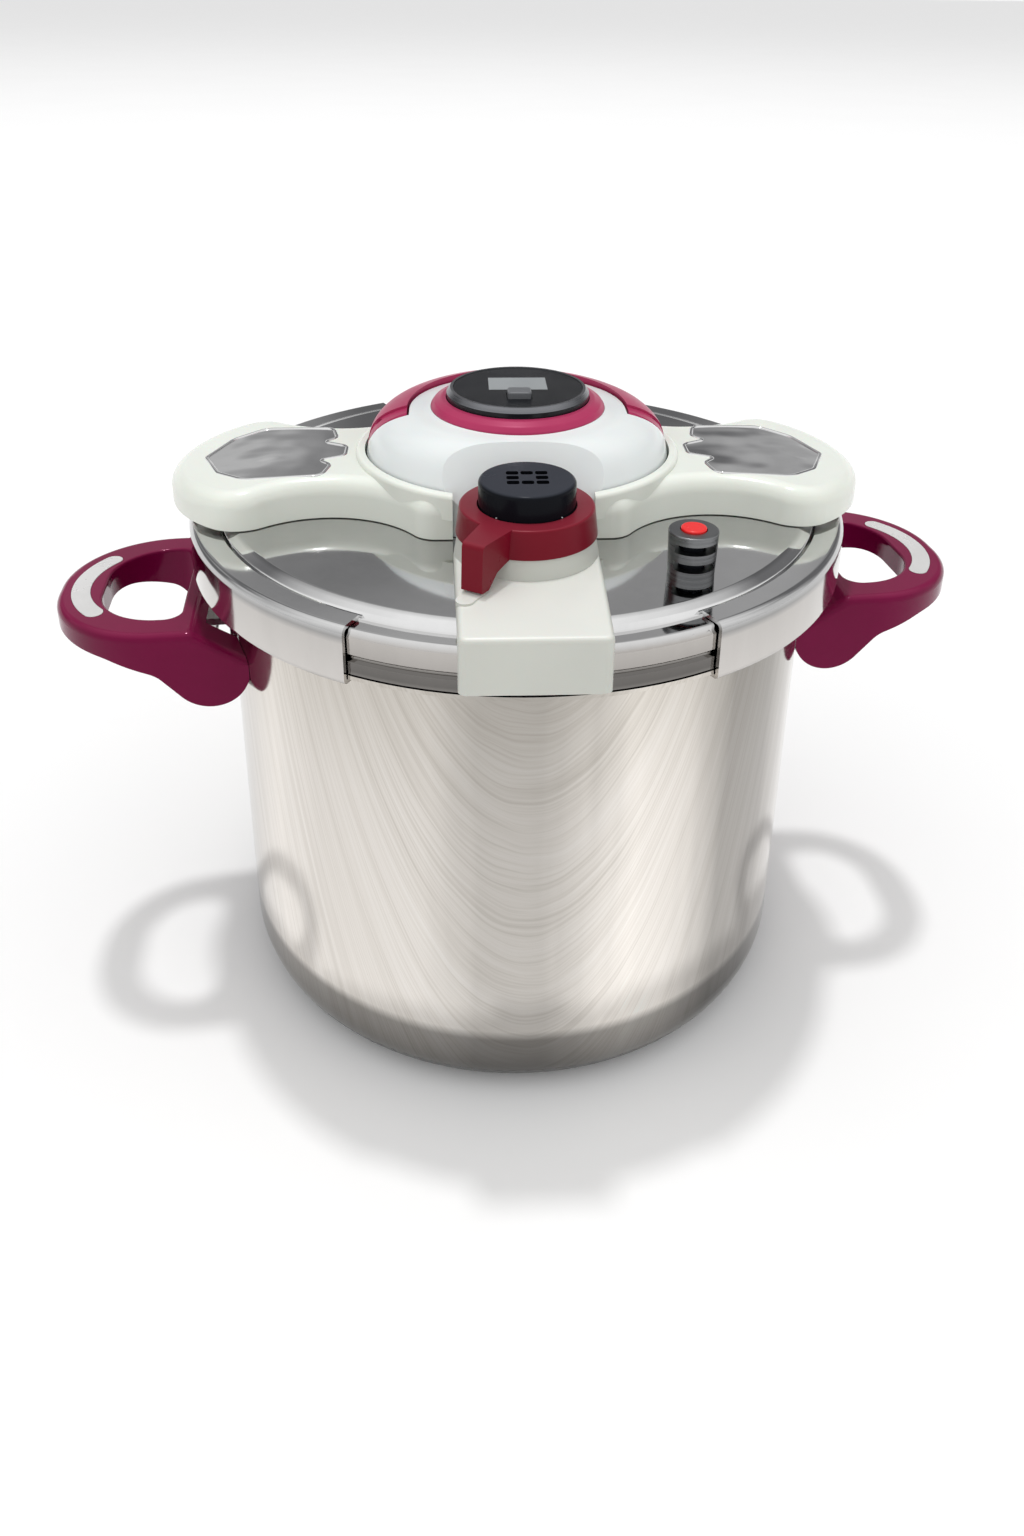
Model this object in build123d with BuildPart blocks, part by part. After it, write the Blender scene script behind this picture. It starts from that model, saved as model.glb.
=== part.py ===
"""Clamp-lid pressure canner, 9 litre: pot, lid, two sliding jaws, fold-down bail, valves and timer.

Units are millimetres, +Z is up, and the origin is the centre of the base on the worktop.
The pot handles lie along X, and the valve housing is at the front, towards -Y.
"""
import os
from math import cos, radians, sin, sqrt

from build123d import *

os.makedirs("parts", exist_ok=True)

# ---------------------------------------------------------------- pot
POT_R = 120.0              # outer radius of the pot wall
POT_WALL = 1.5             # sheet thickness of the pot
BASE_CORNER = 20.0         # radius between the base and the wall
BASE_PLATE = 12.0          # thickness of the sandwich base
FLANGE_R = 131.2           # outer radius of the pot's rim flange
FLANGE_TOP = 193.5         # height of the flange, where the lid sits
FLANGE_T = 1.5

# ---------------------------------------------------------------- lid
LID_GAUGE = 1.3            # sheet thickness of the lid
LID_TOP = 213.8            # height of the flat middle of the lid
LID_STEP = 210.4           # height of the lid's outer ring, under the jaws
LID_R = 131.0              # outer radius of the lid skirt
LID_FLAT_R = 116.5         # radius of the flat middle
LID_LIP_R = 122.0          # radius where the step down ends
LID_SKIRT_BOTTOM = 194.1

# ---------------------------------------------------------------- jaws, arms and wings
JAW_R = 133.1              # outer radius of the closed jaws
JAW_GAUGE = 1.5
JAW_TOP = 212.2
JAW_BOTTOM = 190.2
JAW_INNER_R = 122.6        # inner edge of the jaw's top leg
JAW_LIP_R = 126.5          # inner edge of the lip under the pot flange
JAW_GAP_HALF = 28.2        # degrees between the front (or back) and the jaw's end
ARM_HALF_W = 17.0
ARM_T = 2.4
ARM_Z = 215.2              # underside of the sliding arm
ARM_INNER_X = 20.0
ARM_OUTER_X = 131.0
RIVET_X = 127.2
WING_BOTTOM = 214.2
WING_TOP = 230.0
WING_WALL = 2.5
WING_EDGE = 6.5            # rounding of the wing's top edge
WING_TIP_X = 140.5
WING_DROP = 5.0            # how far the wing's top falls by its tip
CROWN_X = 80.0             # where the top starts to fall
WING_SCREW_X = (85.0, 108.0)
WING_SCREW_Y = 9.0
RIVET_Y = 10.0
SHANK_R, THREAD_HOLE_R = 1.25, 1.3    # the small screws, and their pilot holes
COLLAR_LIP_W = 3.6         # raised lip of the wing round the dome
COLLAR_LIP_H = 2.2

# ---------------------------------------------------------------- dome, bail and timer
DOME_A = 61.5              # half width of the dome at its foot, along X
DOME_FRONT = 56.0          # how far the dome's foot reaches to the front
DOME_BOTTOM = 214.1
DOME_FOOT = 231.0          # height where the dome starts to curve in
DOME_TOP = 249.3
SEAT_R = 35.2              # outer radius of the ring round the timer
TIMER_R = 28.8
TIMER_TOP = 257.2
TIMER_FLOOR = 245.4
BAIL_INNER_R = 44.8
BAIL_GAP = 1.0             # between the bail's inner edge and the dome, for its swing
BAIL_PIVOT_Z = 242.0
BAIL_T = 6.5               # thickness of the bail's skin
BAIL_FOOT = 232.6
BAIL_LIFT = 1.0            # how far the bail stands above the dome
BAIL_TILT = 3.0            # slope of its top, up towards the back
KNUCKLE_R = 7.0            # radius of the bail's ends about the pivot
BAIL_PIN_R = 1.5
CLEAR = 0.3                # gap between parts that move past each other

# ---------------------------------------------------------------- valve housing and selector
VALVE_Y = -72.5            # the operating valve's axis
HOUSING_FRONT_Y = -135.3
HOUSING_HALF_FRONT = 25.0
HOUSING_HALF_BACK = 26.3
HOUSING_TOP = 219.0
HOUSING_SCREW_X, HOUSING_SCREW_Y = 19.0, -110.0
HOUSING_SKIRT = 197.0
COLLAR_TOP = 226.2
SPIGOT_R = 21.6
SPIGOT_TOP = 232.0
SELECTOR_R = 25.5
SELECTOR_BOTTOM = 226.6
SELECTOR_TOP = 237.0
LEVER_ANGLE = 30.0         # rest position of the lever, degrees left of the front
LEVER_REACH = 40.5
CAP_R = 17.4
CAP_BOTTOM = 228.0
CAP_TOP = 246.5
BORE_R = CAP_R + CLEAR

# ---------------------------------------------------------------- pressure indicator and safety valve
IND_X, IND_Y = 58.5, -81.5
IND_TOP = 230.5
SAFETY_Y = -31.0

# ---------------------------------------------------------------- pot handles
HANDLE_TOP = 177.0
HANDLE_HALF_W = 46.0
HANDLE_CORNER = 43.0            # corner radius of the loop in plan
HANDLE_TIP_X = 189.0
HOLE_HALF_W = 32.0
LOBE_X, LOBE_Z, LOBE_R = 126.0, 159.8, 15.5
BAR_X0, BAR_X1 = 127.5, 137.0   # the handle's inner cross bar
BRACKET_Z = 163.0               # middle of the steel bracket's tab
SCREW_X = 131.5
INLAY_SETBACK = 46.0            # from the loop's tip back to the centre of the inlay's arc
INLAY_R, INLAY_ANGLE = 37.0, 40.0
INLAY_W, INLAY_DEPTH = 7.4, 0.8
HANDLE_TURN = 5.0               # turn of the pot's handles from the lid's jaws, about Z


def save(piece, name):
    """Label a finished piece and write its STEP file."""
    piece.part.label = name
    export_step(piece.part, f"parts/{name}.step")


def save_pair(right, name, turn=0.0):
    """Write a piece of the right side, and its mirror image on the left, both turned about Z."""
    other = mirror(right.part, about=Plane.YZ, mode=Mode.PRIVATE)
    for side, shape in (("right", right.part), ("left", other)):
        with BuildPart() as piece:
            add(shape, rotation=(0, 0, turn))
        save(piece, f"{side}_{name}")


def turned_section(angle):
    """The radial plane at an angle about Z, with local x outwards and local y up."""
    a = radians(angle)
    return Plane(origin=(0, 0, 0), x_dir=(cos(a), sin(a), 0), z_dir=(sin(a), -cos(a), 0))


def rounded_cup(radius, bottom, top, corner):
    """Half section of a solid cup with a rounded bottom edge."""
    with BuildSketch(Plane.XZ) as section:
        with BuildLine():
            FilletPolyline((0, bottom), (radius, bottom), (radius, top), radius=corner)
            Polyline((radius, top), (0, top), (0, bottom))
        make_face()
    return section.sketch


def ring_block(r_out, r_in, z0, z1, mode=Mode.ADD):
    """A plain upright ring between two heights."""
    with BuildSketch(Plane.XY.offset(z0)) as section:
        Circle(r_out)
        Circle(r_in, mode=Mode.SUBTRACT)
    extrude(section.sketch, amount=z1 - z0, mode=mode)


def disc(radius, z0, z1, x=0.0, y=0.0, mode=Mode.ADD):
    """An upright cylinder between two heights."""
    with BuildSketch(Plane.XY.offset(z0)) as section:
        with Locations((x, y)):
            Circle(radius)
    extrude(section.sketch, amount=z1 - z0, mode=mode)


def block(x0, x1, y0, y1, z0, z1, mode=Mode.ADD):
    """A box between two corners."""
    with BuildSketch(Plane.XY.offset(z0)) as section:
        with Locations(((x0 + x1) / 2, (y0 + y1) / 2)):
            Rectangle(abs(x1 - x0), abs(y1 - y0))
    extrude(section.sketch, amount=z1 - z0, mode=mode)


def hex_nut(across, bore, z0, z1, x=0.0, y=0.0):
    """A hexagon nut between two heights."""
    with BuildSketch(Plane.XY.offset(z0)) as section:
        with Locations((x, y)):
            RegularPolygon(across / sqrt(3), 6)
            Circle(bore, mode=Mode.SUBTRACT)
    extrude(section.sketch, amount=z1 - z0)


# ================================================================ pot
with BuildPart() as pot_shell:
    revolve(rounded_cup(POT_R, 0, FLANGE_TOP - 10, BASE_CORNER), axis=Axis.Z)
    cavity = rounded_cup(POT_R - POT_WALL, BASE_PLATE + POT_WALL, FLANGE_TOP, BASE_CORNER - POT_WALL)
    revolve(cavity, axis=Axis.Z, mode=Mode.SUBTRACT)
    disc(POT_R, 0, BASE_PLATE, mode=Mode.SUBTRACT)
    with BuildSketch(Plane.XZ):
        with BuildLine():
            rim_low = FLANGE_TOP - 12
            FilletPolyline(
                (POT_R, rim_low), (POT_R, FLANGE_TOP - FLANGE_T), (FLANGE_R, FLANGE_TOP - FLANGE_T), radius=3
            )
            Line((FLANGE_R, FLANGE_TOP - FLANGE_T), (FLANGE_R, FLANGE_TOP))
            FilletPolyline(
                (FLANGE_R, FLANGE_TOP), (POT_R - POT_WALL, FLANGE_TOP), (POT_R - POT_WALL, rim_low), radius=4.5
            )
            Line((POT_R - POT_WALL, rim_low), (POT_R, rim_low))
        make_face()
    revolve(axis=Axis.Z)
save(pot_shell, "pot_shell")

with BuildPart() as base_plate:
    revolve(rounded_cup(POT_R, 0, BASE_CORNER + 5, BASE_CORNER), axis=Axis.Z)
    disc(POT_R + 1, BASE_PLATE, BASE_CORNER + 6, mode=Mode.SUBTRACT)
    ring_block(72, 69, 0, 0.6, mode=Mode.SUBTRACT)
save(base_plate, "base_plate")

# ---------------------------------------------------------------- pot handles, right side
with BuildPart() as handle:
    # plan of the loop, then the side profile, then the D-shaped finger hole
    with BuildSketch(Plane.XY.offset(LOBE_Z - LOBE_R - 1)):
        with BuildLine():
            w, tip = HANDLE_HALF_W, HANDLE_TIP_X
            FilletPolyline((100, -w), (tip, -w), (tip, w), (100, w), radius=HANDLE_CORNER)
            Line((100, w), (100, -w))
        make_face()
    extrude(amount=HANDLE_TOP - LOBE_Z + LOBE_R + 1)
    with BuildSketch(Plane.XZ):
        with BuildLine():
            q = LOBE_R * cos(radians(45))
            FilletPolyline(
                (LOBE_X + q, LOBE_Z - q), (146.5, 159.5), (166, 166), (HANDLE_TIP_X, 168.5),
                (HANDLE_TIP_X + 2, HANDLE_TOP), (132, HANDLE_TOP), (108, 162), radius=[12, 30, 6, 0.6, 6]
            )
            Polyline((108, 162), (100, 162), (100, LOBE_Z), (LOBE_X - LOBE_R, LOBE_Z))
            ThreePointArc((LOBE_X - LOBE_R, LOBE_Z), (LOBE_X, LOBE_Z - LOBE_R), (LOBE_X + q, LOBE_Z - q))
        make_face()
    extrude(amount=HANDLE_HALF_W + 5, both=True, mode=Mode.INTERSECT)
    fillet(faces().sort_by(Axis.Z)[-1].edges(), radius=3.2)
    # below and behind the lobe the cheeks end in its round
    with BuildSketch(Plane.XZ):
        with BuildLine():
            Polyline((95, 100), (LOBE_X, 100), (LOBE_X, LOBE_Z), (95, LOBE_Z), close=True)
        make_face()
        with Locations((LOBE_X, LOBE_Z)):
            Circle(LOBE_R, mode=Mode.SUBTRACT)
    extrude(amount=HANDLE_HALF_W + 5, both=True, mode=Mode.SUBTRACT)
    with BuildSketch(Plane.XY.offset(LOBE_Z - LOBE_R - 2)):
        with BuildLine():
            h, far = HOLE_HALF_W, HANDLE_TIP_X - 18.5
            FilletPolyline(
                (BAR_X1, -h), (far, -h), (far, h), (BAR_X1, h), radius=[7, 25, 25, 7], close=True
            )
        make_face()
    extrude(amount=60, mode=Mode.SUBTRACT)
    # the open space between the two cheeks, on the pot's side of the cross bar
    block(95, BAR_X0, -HOLE_HALF_W, HOLE_HALF_W, LOBE_Z - LOBE_R - 2, HANDLE_TOP + 2, mode=Mode.SUBTRACT)
    block(100, BAR_X1, -HOLE_HALF_W, HOLE_HALF_W, LOBE_Z - LOBE_R - 2, 152, mode=Mode.SUBTRACT)
    disc(POT_R + 0.1, 100, 200, mode=Mode.SUBTRACT)
    fillet(edges().filter_by(GeomType.CIRCLE).group_by(Axis.Z)[-1], radius=1.2)
    # slot for the bracket's tab, and the screw hole below it
    block(BAR_X0 - 1, BAR_X1 - 1.8, -11.1, 11.1, BRACKET_Z - 1.6, BRACKET_Z + 1.6, mode=Mode.SUBTRACT)
    disc(2.6, 150, BRACKET_Z + 8, x=SCREW_X, mode=Mode.SUBTRACT)
    disc(4.8, 150, 155.2, x=SCREW_X, mode=Mode.SUBTRACT)
    # recess for the steel inlay
    with BuildSketch(Plane.XY.offset(HANDLE_TOP - INLAY_DEPTH)):
        with Locations((HANDLE_TIP_X - INLAY_SETBACK, 0)):
            SlotArc(CenterArc((0, 0), INLAY_R, -INLAY_ANGLE, 2 * INLAY_ANGLE), height=INLAY_W + 0.3)
    extrude(amount=5, mode=Mode.SUBTRACT)
save_pair(handle, "handle", HANDLE_TURN)

with BuildPart() as handle_inlay:
    with BuildSketch(Plane.XY.offset(HANDLE_TOP - INLAY_DEPTH)):
        with Locations((HANDLE_TIP_X - INLAY_SETBACK, 0)):
            SlotArc(CenterArc((0, 0), INLAY_R, -INLAY_ANGLE, 2 * INLAY_ANGLE), height=INLAY_W)
    extrude(amount=INLAY_DEPTH + 0.1)
save_pair(handle_inlay, "handle_inlay", HANDLE_TURN)

with BuildPart() as handle_bracket:
    # curved pad welded to the pot wall, with a tab that the handle slides over
    with BuildSketch(turned_section(-11)):
        with BuildLine():
            pad_in, pad_out = POT_R + 0.03, POT_R + 1.6
            Polyline((pad_in, 152), (pad_out, 152), (pad_out, 174), (pad_in, 174), close=True)
        make_face()
    revolve(axis=Axis.Z, revolution_arc=22)
    block(POT_R + 0.8, BAR_X1 - 2, -11, 11, BRACKET_Z - 1.5, BRACKET_Z + 1.5)
    disc(2.6, BRACKET_Z - 5, BRACKET_Z + 5, x=SCREW_X, mode=Mode.SUBTRACT)
save_pair(handle_bracket, "handle_bracket", HANDLE_TURN)

with BuildPart() as handle_screws:
    for side in (-1, 1):
        sx, sy = side * SCREW_X * cos(radians(HANDLE_TURN)), side * SCREW_X * sin(radians(HANDLE_TURN))
        disc(4.5, 152.4, 155.1, x=sx, y=sy)
        disc(2.5, 155.1, BRACKET_Z + 7, x=sx, y=sy)
save(handle_screws, "handle_screws")

# ================================================================ lid
with BuildPart() as lid_shell:
    with BuildSketch(Plane.XZ):
        with BuildLine():
            g, skirt_r = LID_GAUGE, LID_R - LID_GAUGE
            outside = FilletPolyline(
                (0, LID_TOP), (LID_FLAT_R, LID_TOP), (LID_LIP_R - 1, LID_TOP - 1.4), (LID_LIP_R, LID_STEP),
                (LID_R, LID_STEP), (LID_R, 201.6), (LID_R - 1.2, 200.6), (LID_R - 1.2, 199.8), (LID_R, 198.8),
                (LID_R, LID_SKIRT_BOTTOM), radius=[1.6, 0.7, 0.8, 2.8, 0.4, 0.3, 0.3, 0.4]
            )
            inside = FilletPolyline(
                (skirt_r, LID_SKIRT_BOTTOM), (skirt_r, 198.4), (skirt_r - 1.2, 199.4), (skirt_r - 1.2, 201.0),
                (skirt_r, 202.0), (skirt_r, LID_STEP - g), (LID_LIP_R - 0.8, LID_STEP - g),
                (LID_LIP_R - 1.8, LID_TOP - 2.5), (LID_FLAT_R - 0.2, LID_TOP - g), (0, LID_TOP - g),
                radius=[0.3, 0.3, 0.3, 0.3, 1.5, 0.5, 0.5, 0.8]
            )
            Line(outside @ 1, inside @ 0)
            Line(inside @ 1, outside @ 0)
        make_face()
    revolve(axis=Axis.Z)
    disc(7.1, 200, 220, y=VALVE_Y, mode=Mode.SUBTRACT)
    disc(5.6, 200, 220, x=IND_X, y=IND_Y, mode=Mode.SUBTRACT)
    disc(5.1, 200, 220, y=SAFETY_Y, mode=Mode.SUBTRACT)
    disc(4.1, 200, 220, mode=Mode.SUBTRACT)
    for sx in (-1, 1):
        disc(1.6, 200, 220, x=sx * HOUSING_SCREW_X, y=HOUSING_SCREW_Y, mode=Mode.SUBTRACT)
save(lid_shell, "lid_shell")

with BuildPart() as lid_gasket:
    ring_block(128.1, 122.0, FLANGE_TOP + 0.2, LID_STEP - LID_GAUGE - 0.2)
    ring_block(126.4, 123.7, FLANGE_TOP, FLANGE_TOP + 9, mode=Mode.SUBTRACT)
save(lid_gasket, "lid_gasket")

HUB_X = 38.0
RAIL_Y0, RAIL_Y1 = ARM_HALF_W + 0.4, 24.0
DOME_SCREWS = [(sx * 30, sy * (RAIL_Y0 + RAIL_Y1) / 2) for sx in (-1, 1) for sy in (-1, 1)]
with BuildPart() as arm_guide:
    # channel on the lid's middle that the two arms slide in
    for sy in (-1, 1):
        block(-HUB_X, HUB_X, sy * RAIL_Y0, sy * RAIL_Y1, LID_TOP, 220.6)
    block(-HUB_X, HUB_X, -RAIL_Y0, RAIL_Y0, 218.2, 220.6)
    disc(4.1, LID_TOP, 221, mode=Mode.SUBTRACT)
    for sx, sy in DOME_SCREWS:
        disc(1.6, LID_TOP - 1, 221, x=sx, y=sy, mode=Mode.SUBTRACT)
        disc(2.7, LID_TOP - 1, LID_TOP + 1.7, x=sx, y=sy, mode=Mode.SUBTRACT)
save(arm_guide, "arm_guide")

with BuildPart() as centre_bolt:
    disc(8, 209.2, LID_TOP - LID_GAUGE)
    disc(4, LID_TOP - LID_GAUGE, 228)
    fillet(edges().group_by(Axis.Z)[0], radius=1.5)
save(centre_bolt, "centre_bolt")

with BuildPart() as centre_nut:
    hex_nut(13, 4.05, 220.7, 226.7)
save(centre_nut, "centre_nut")

with BuildPart() as jaw_springs:
    # two light coil springs between the arms' inner ends
    for sy in (-1, 1):
        spring_start = (-ARM_INNER_X + 1.5, sy * 10.5, ARM_Z + 1.2)
        with BuildLine():
            coil = Helix(pitch=3.7, height=37, radius=1.1, center=spring_start, direction=(1, 0, 0))
        with BuildSketch(Plane(origin=coil @ 0, z_dir=coil % 0)):
            Circle(0.4)
        sweep(path=coil, is_frenet=True)
save(jaw_springs, "jaw_springs")

# ================================================================ jaws, arms and wings, right side
with BuildPart() as jaw:
    with BuildSketch(turned_section(-90 + JAW_GAP_HALF)):
        with BuildLine():
            FilletPolyline(
                (JAW_INNER_R, JAW_TOP), (JAW_R, JAW_TOP), (JAW_R, JAW_BOTTOM), (JAW_LIP_R, JAW_BOTTOM),
                radius=[3, 2]
            )
            offset(amount=JAW_GAUGE, side=Side.RIGHT)
        make_face()
    revolve(axis=Axis.Z, revolution_arc=180 - 2 * JAW_GAP_HALF)
    for sy in (-1, 1):
        disc(2.05, 200, 220, x=RIVET_X, y=sy * RIVET_Y, mode=Mode.SUBTRACT)
save_pair(jaw, "jaw")

with BuildPart() as arm:
    with BuildSketch(Plane.XZ):
        with BuildLine():
            FilletPolyline(
                (ARM_INNER_X, ARM_Z), (117, ARM_Z), (123, JAW_TOP), (ARM_OUTER_X, JAW_TOP), radius=[3, 3]
            )
            offset(amount=ARM_T, side=Side.LEFT)
        make_face()
    extrude(amount=ARM_HALF_W, both=True)
    for sy in (-1, 1):
        disc(2.05, 200, 220, x=RIVET_X, y=sy * RIVET_Y, mode=Mode.SUBTRACT)
        for bx in WING_SCREW_X:
            disc(1.6, 200, 225, x=bx, y=sy * WING_SCREW_Y, mode=Mode.SUBTRACT)
            disc(2.7, 200, ARM_Z + 1.1, x=bx, y=sy * WING_SCREW_Y, mode=Mode.SUBTRACT)
save_pair(arm, "arm")

with BuildPart() as arm_rivets:
    for sy in (-1, 1):
        disc(2.0, JAW_TOP - JAW_GAUGE + 0.1, JAW_TOP + ARM_T + 0.1, x=RIVET_X, y=sy * RIVET_Y)
        disc(3.0, JAW_TOP + ARM_T + 0.02, JAW_TOP + ARM_T + 1.6, x=RIVET_X, y=sy * RIVET_Y)
save_pair(arm_rivets, "arm_rivets")

# the half outline of a wing: tip round, corner round, waist hollow, inner corner round
WING_C0, WING_R0 = 90.0, WING_TIP_X - 90.0
WING_CORNER_R, WING_WAIST_R, WING_INNER_R = 16.0, 40.0, 10.0
WING_CORNER_A = 56.0
PRONG_X, PRONG_Y = 26.5, 53.5


def wing_outline():
    """The right wing's outline in plan, from the tip round to the two inner ends."""
    reach = WING_R0 - WING_CORNER_R
    c1 = Vector(WING_C0 + reach * cos(radians(WING_CORNER_A)), reach * sin(radians(WING_CORNER_A)))
    waist_x = 74.0
    span = WING_CORNER_R + WING_WAIST_R
    c2 = Vector(waist_x, c1.Y + sqrt(span ** 2 - (c1.X - waist_x) ** 2))
    c3_y = PRONG_Y - WING_INNER_R
    inner_span = WING_WAIST_R + WING_INNER_R
    c3 = Vector(waist_x - sqrt(inner_span ** 2 - (c2.Y - c3_y) ** 2), c3_y)
    t0 = Vector(WING_C0, 0) + Vector(cos(radians(WING_CORNER_A)), sin(radians(WING_CORNER_A))) * WING_R0
    t1 = c1 + (c2 - c1) * (WING_CORNER_R / span)
    t2 = c2 + (c3 - c2) * (WING_WAIST_R / inner_span)
    with BuildSketch() as outline:
        with BuildLine():
            tip_round = TangentArc((WING_TIP_X, 0), (t0.X, t0.Y), tangent=(0, 1))
            corner_round = TangentArc(tip_round @ 1, (t1.X, t1.Y), tangent=tip_round % 1)
            waist = TangentArc(corner_round @ 1, (t2.X, t2.Y), tangent=corner_round % 1)
            inner_round = TangentArc(waist @ 1, (c3.X, PRONG_Y), tangent=waist % 1)
            Polyline(inner_round @ 1, (PRONG_X, PRONG_Y), (PRONG_X, 0), (WING_TIP_X, 0))
        make_face()
        mirror(about=Plane.XZ)
    return outline.sketch


def inlay_plan(grow=0.0):
    """Plan of the polished plate: pointed towards the tip, three rounded fingers at the inner end."""
    with BuildSketch() as outline:
        with BuildLine():
            FilletPolyline(
                (127, 0), (119, 19), (107, 29), (77.5, 27), (75, 15.5), (80, 10.5), (70, 5.5), (70, -5.5),
                (80, -10.5), (75, -15.5), (77.5, -27), (107, -29), (119, -19),
                radius=[2.5, 9, 9, 4.5, 4.5, 1.6, 4, 4, 1.6, 4.5, 4.5, 9, 9], close=True
            )
        make_face()
        if grow:
            offset(amount=grow, mode=Mode.REPLACE)
    return outline.sketch


def crown_section(lift=0.0):
    """Side view of the wing's space, under its crowned top."""
    with BuildSketch(Plane.XZ) as section:
        with BuildLine():
            level = Line((0, WING_TOP + lift), (CROWN_X, WING_TOP + lift))
            TangentArc(level @ 1, (WING_TIP_X + 4, WING_TOP - WING_DROP + lift), tangent=(1, 0))
            Polyline((WING_TIP_X + 4, WING_TOP - WING_DROP + lift), (WING_TIP_X + 4, 200), (0, 200), level @ 0)
        make_face()
    return section.sketch


def dome_plan(grow, front_grow=None):
    """The dome's plan: half a circle at the back, half an ellipse at the front."""
    a = DOME_A + grow
    front = DOME_FRONT + (grow if front_grow is None else front_grow)
    with BuildSketch() as outline:
        with BuildLine():
            EllipticalCenterArc((0, 0), a, a, start_angle=0, arc_size=180)
            EllipticalCenterArc((0, 0), a, front, start_angle=180, arc_size=180)
        make_face()
    return outline.sketch


with BuildPart() as inlay_seat:
    extrude(inlay_plan(0.1), amount=WING_TOP + 5)
    extrude(crown_section(-0.8), amount=80, both=True, mode=Mode.SUBTRACT)

with BuildPart() as wing_hollow:
    # open underside, with four bosses left standing for the screws
    with BuildSketch(Plane.XY.offset(WING_BOTTOM - 1)):
        add(wing_outline())
        offset(amount=-WING_WALL, mode=Mode.REPLACE)
        add(dome_plan(0.8 + WING_WALL), mode=Mode.SUBTRACT)
        for bx in WING_SCREW_X:
            for by in (-WING_SCREW_Y, WING_SCREW_Y):
                with Locations((bx, by)):
                    Circle(3.4, mode=Mode.SUBTRACT)
    extrude(amount=WING_TOP - WING_BOTTOM)
    extrude(crown_section(-WING_WALL), amount=80, both=True, mode=Mode.INTERSECT)

with BuildPart() as wing:
    with BuildSketch(Plane.XY.offset(WING_BOTTOM)):
        add(wing_outline())
    extrude(amount=WING_TOP - WING_BOTTOM)
    # the top is level near the dome and falls away towards the tip
    extrude(crown_section(), amount=80, both=True, mode=Mode.INTERSECT)
    rim = edges().filter_by_position(Axis.Z, WING_TOP - WING_DROP - 1, WING_TOP + 0.1)
    rim = rim.filter_by_position(Axis.X, PRONG_X + 0.5, 150)
    rim = [edge for edge in rim if abs(edge.center().Y) > 1 or edge.center().X > WING_TIP_X - 1]
    fillet(rim, radius=WING_EDGE)
    # raised lip round the dome; behind the dome it comes down as the wing's back collar
    with BuildSketch(Plane.XY.offset(WING_TOP - WING_EDGE - 1)):
        add(dome_plan(0.8 + COLLAR_LIP_W))
        with Locations((WING_TIP_X / 2 + 3, 0)):
            Rectangle(WING_TIP_X, 160, mode=Mode.INTERSECT)
        with Locations((PRONG_X / 2, -PRONG_Y)):
            Rectangle(PRONG_X, 2 * PRONG_Y, mode=Mode.SUBTRACT)
    extrude(amount=WING_EDGE + 1 + COLLAR_LIP_H)
    fillet(faces().sort_by(Axis.Z)[-1].edges().filter_by(GeomType.LINE, reverse=True), radius=1.5)
    with BuildSketch(Plane.XY.offset(WING_BOTTOM)):
        add(dome_plan(0.8 + COLLAR_LIP_W))
        with Locations((WING_TIP_X / 2 + 3, WING_TIP_X / 2)):
            Rectangle(WING_TIP_X, WING_TIP_X, mode=Mode.INTERSECT)
    extrude(amount=WING_TOP - WING_BOTTOM - 1)
    with BuildSketch(Plane.XY.offset(WING_BOTTOM - 1)):
        add(dome_plan(0.8))
    extrude(amount=30, mode=Mode.SUBTRACT)
    # seat for the polished plate
    add(inlay_seat.part, mode=Mode.SUBTRACT)
    add(wing_hollow.part, mode=Mode.SUBTRACT)
    block(40, 95, -ARM_HALF_W - 0.6, ARM_HALF_W + 0.6, WING_BOTTOM - 1, ARM_Z + ARM_T + 0.5, mode=Mode.SUBTRACT)
    for bx in WING_SCREW_X:
        for by in (-WING_SCREW_Y, WING_SCREW_Y):
            disc(3.6, WING_BOTTOM - 1, ARM_Z + ARM_T + 0.05, x=bx, y=by, mode=Mode.SUBTRACT)
            disc(THREAD_HOLE_R, WING_BOTTOM - 1, 225.5, x=bx, y=by, mode=Mode.SUBTRACT)
save_pair(wing, "wing")

with BuildPart() as wing_inlay:
    # polished plate that follows the crowned top
    extrude(inlay_plan(), amount=WING_TOP + 1)
    extrude(crown_section(-0.15), amount=80, both=True, mode=Mode.INTERSECT)
    extrude(crown_section(-0.75), amount=80, both=True, mode=Mode.SUBTRACT)
save_pair(wing_inlay, "wing_inlay")

with BuildPart() as wing_screws:
    for bx in WING_SCREW_X:
        for by in (-WING_SCREW_Y, WING_SCREW_Y):
            disc(2.6, ARM_Z + 0.05, ARM_Z + 1.0, x=bx, y=by)
            disc(1.5, ARM_Z + 1.0, ARM_Z + ARM_T, x=bx, y=by)
            disc(SHANK_R, ARM_Z + ARM_T, 225, x=bx, y=by)
save_pair(wing_screws, "wing_screws")

# ================================================================ dome
# height, half width and front reach of the dome above its foot
DOME_PROFILE = [
    (DOME_FOOT, DOME_A, DOME_FRONT), (236.0, 60.4, 54.2), (240.0, 58.6, 52.2), (243.0, 55.8, 50.2),
    (245.4, 51.8, 47.8), (247.0, 47.6, 45.4), (248.2, 42.8, 41.8), (DOME_TOP, SEAT_R, SEAT_R),
]


def dome_solid(inset=0.0, lift=0.0):
    """The dome's outer form as a solid, or the same form set in all over."""
    with BuildPart() as form:
        with BuildSketch(Plane.XY.offset(DOME_BOTTOM)):
            add(dome_plan(-inset))
        extrude(amount=DOME_FOOT - inset + lift - DOME_BOTTOM)
        for height, half, front in DOME_PROFILE:
            with BuildSketch(Plane.XY.offset(height - inset + lift)):
                add(dome_plan(half - DOME_A - inset, front - DOME_FRONT - inset))
        loft()
    return form.part


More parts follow.
